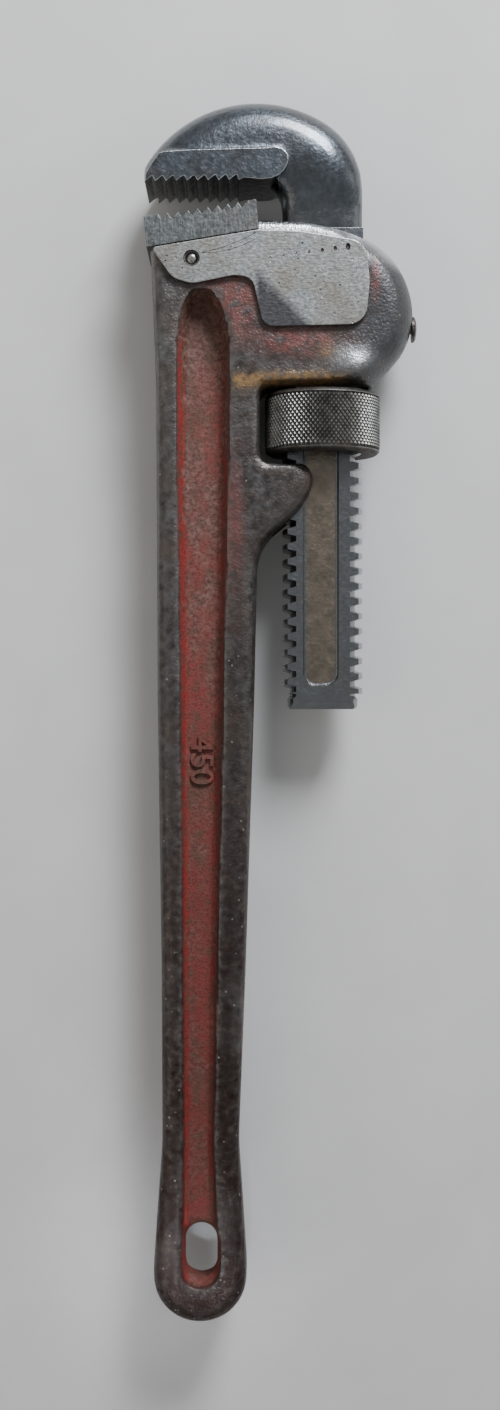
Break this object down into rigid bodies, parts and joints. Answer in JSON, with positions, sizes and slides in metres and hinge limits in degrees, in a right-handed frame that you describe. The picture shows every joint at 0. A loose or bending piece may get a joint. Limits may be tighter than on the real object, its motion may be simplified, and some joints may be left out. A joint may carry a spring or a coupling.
{
  "type": "pipe wrench",
  "caption": "Straight adjustable pipe wrench with an I-beam handle, a sliding threaded hook jaw set by a knurled nut, and a pinned toothed heel jaw.",
  "frame": {"origin": "under the middle of the wrench's bounding box, level with the lowest line of the adjusting nut, jaws as drawn", "axes": "+Y along the shank, from the handle's end to the hook jaw; the mouth opens towards -X; +Z is the thickness, up out of the flat side"},
  "size_m": [0.093, 0.4132, 0.0392],
  "materials": {
    "handle_casting": "dark handled casting, ground pads on the housing, worn red enamel in the channels",
    "hook_forging": "dark forged and heat-treated steel, worn bright at the edges",
    "heel_steel": "ground tool steel, worn",
    "pin_steel": "plain steel",
    "nut_steel": "dark steel, diamond knurl with bright crests",
    "spring_steel": "oiled spring steel",
    "rivet_steel": "dark peened steel"
  },
  "bodies": {
    "handle": {"handle_housing": "handle_casting", "heel_jaw": "heel_steel", "heel_jaw_pin": "pin_steel", "spring_rivet": "rivet_steel", "coil_spring": "spring_steel"},
    "rocker": {"flat_spring": "spring_steel"},
    "hook": {"hook_jaw": "hook_forging"},
    "nut": {"adjusting_nut": "nut_steel"}
  },
  "joints": [
    {"name": "jaw_rock", "type": "hinge", "parent": "handle", "child": "rocker", "pos_m": [-0.0045, 0.1084, 0.0196], "axis": [0, 0, -1], "range_deg": [0, 3], "stiffness_Nm_per_rad": 8, "springref_deg": -2.86, "deforming": ["coil_spring"]},
    {"name": "jaw_slide", "type": "slide", "parent": "rocker", "child": "hook", "axis": [0, 1, 0], "range_m": [-0.005, 0.0739]},
    {"name": "nut_spin", "type": "hinge", "parent": "rocker", "child": "nut", "pos_m": [0.0145, 0.0974, 0.0196], "axis": [0, -1, 0], "range_deg": [-356, 5240]}
  ],
  "couplings": [
    {"joint": "nut_spin", "follows": "jaw_slide", "rad_per_m": 1236.8}
  ]
}
